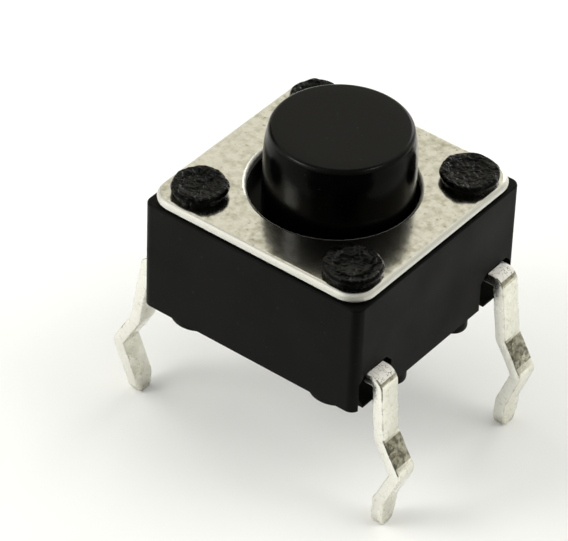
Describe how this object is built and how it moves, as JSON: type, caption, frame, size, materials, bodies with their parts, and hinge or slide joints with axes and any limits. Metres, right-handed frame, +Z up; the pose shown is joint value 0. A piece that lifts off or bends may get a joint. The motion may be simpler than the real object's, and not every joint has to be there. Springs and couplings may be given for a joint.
{
  "type": "tactile push button switch",
  "caption": "Square tactile push button switch with a round plunger, a riveted steel cover and kinked through-hole leads.",
  "frame": {"origin": "centre of the square body, on the board's upper face that the feet stand on", "axes": "+Z up along the button's travel, away from the board; +X across the body towards one pair of legs; +Y along the body"},
  "size_m": [0.0083, 0.006, 0.0081],
  "materials": {
    "black_moulding": "satin moulded, black",
    "cover_steel": "satin stamped sheet",
    "button_moulding": "fine matt moulded, black",
    "spring_steel": "bright rolled sheet",
    "tinned_brass": "tin plated"
  },
  "bodies": {
    "base": {"housing": "black_moulding", "cover_plate": "cover_steel", "contact_dome": "spring_steel", "front_terminal": "tinned_brass", "back_terminal": "tinned_brass"},
    "plunger": {"button": "button_moulding"}
  },
  "joints": [
    {"name": "button_press", "type": "slide", "parent": "base", "child": "plunger", "axis": [0, 0, -1], "range_m": [0, 0.00025], "stiffness_N_per_m": 8000, "deforming": ["contact_dome"]}
  ]
}
